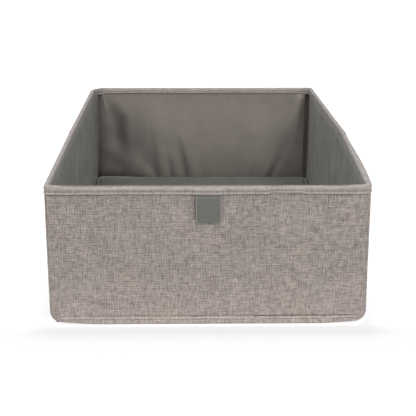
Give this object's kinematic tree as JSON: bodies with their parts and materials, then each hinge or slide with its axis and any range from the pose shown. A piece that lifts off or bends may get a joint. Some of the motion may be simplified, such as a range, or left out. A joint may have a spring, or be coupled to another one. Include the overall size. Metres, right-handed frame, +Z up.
{
  "type": "fabric storage box",
  "caption": "Open-top fabric storage box with board-stiffened walls, folding sides, a bound rim, a front pull tab and a loose lift-out base insert.",
  "frame": {"origin": "middle of the box's outline in X and Y, on the ground that the base stands on", "axes": "-Y is the front, with the pull tab, +X is the viewer's right and +Z is up"},
  "size_m": [0.329, 0.5024, 0.148],
  "materials": {
    "linen_fabric": "matte slub linen-look weave, greige melange",
    "nonwoven_lining": "matte needled non-woven, warm grey",
    "nonwoven_base": "matte needled non-woven, dark grey",
    "tab_ribbon": "matte ribbed woven tape, grey green",
    "pulp_board": "pressed grey pulp board"
  },
  "bodies": {
    "box": {"outer_front": "linen_fabric", "outer_back": "linen_fabric", "outer_left": "linen_fabric", "outer_right": "linen_fabric", "rim_binding": "linen_fabric", "lining_front": "nonwoven_lining", "lining_back": "nonwoven_lining", "lining_left": "nonwoven_lining", "lining_right": "nonwoven_lining", "board_front": "pulp_board", "board_back": "pulp_board", "board_left_front": "pulp_board", "board_left_rear": "pulp_board", "board_right_front": "pulp_board", "board_right_rear": "pulp_board", "base_cloth": "nonwoven_base", "tab_tail": "tab_ribbon"},
    "base_insert": {"insert_board": "pulp_board", "insert_sheet_top": "nonwoven_lining", "insert_sheet_bottom": "nonwoven_lining"},
    "tab": {"pull_tab": "tab_ribbon"}
  },
  "joints": [
    {"name": "insert_lift", "type": "slide", "parent": "box", "child": "base_insert", "axis": [0, 0, 1], "range_m": [0, 0.15]},
    {"name": "tab_swing", "type": "hinge", "parent": "box", "child": "tab", "pos_m": [-0.0035, -0.2505, 0.136], "axis": [-1, 0, 0], "range_deg": [0, 150]}
  ]
}
